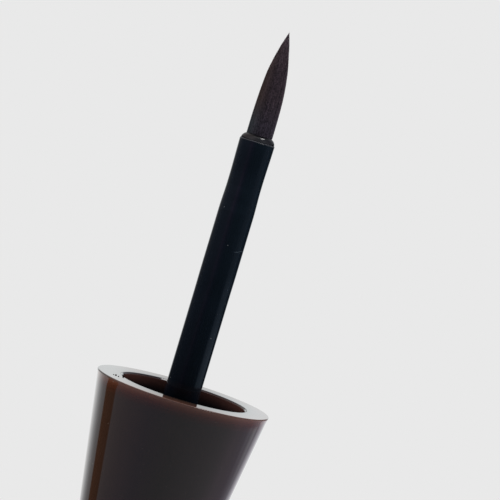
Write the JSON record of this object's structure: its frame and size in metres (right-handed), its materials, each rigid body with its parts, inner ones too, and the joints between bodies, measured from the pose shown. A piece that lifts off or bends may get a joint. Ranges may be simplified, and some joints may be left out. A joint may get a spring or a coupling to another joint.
{
  "type": "eyeliner cap with brush",
  "caption": "Flared screw cap of a liquid eyeliner with its slim dip wand and fine pointed brush, standing on its closed end.",
  "frame": {"origin": "centre of the flat closed end, which the cap stands on", "axes": "+Z along the cap's axis, from the closed end to the tip of the brush; round about Z, so X and Y are free"},
  "size_m": [0.017, 0.017, 0.0851],
  "materials": {
    "shell_plastic": "polished, dark brown tinted moulding",
    "liner_plastic": "as moulded, satin, brown-black",
    "washer_foam": "closed-cell foam, matt, off-white grey",
    "wand_plastic": "as moulded, soft sheen, blue-black",
    "holder_plastic": "as moulded, smooth, black",
    "anchor_resin": "cured adhesive, unseen",
    "brush_hair": "fine nylon hair with a dry coat of black liner"
  },
  "bodies": {
    "root": {"outer_shell": "shell_plastic", "inner_cap": "liner_plastic", "seal_washer": "washer_foam", "wand": "wand_plastic", "brush_holder": "holder_plastic", "tuft_anchor": "anchor_resin", "bristle_tuft": "brush_hair"}
  },
  "joints": []
}
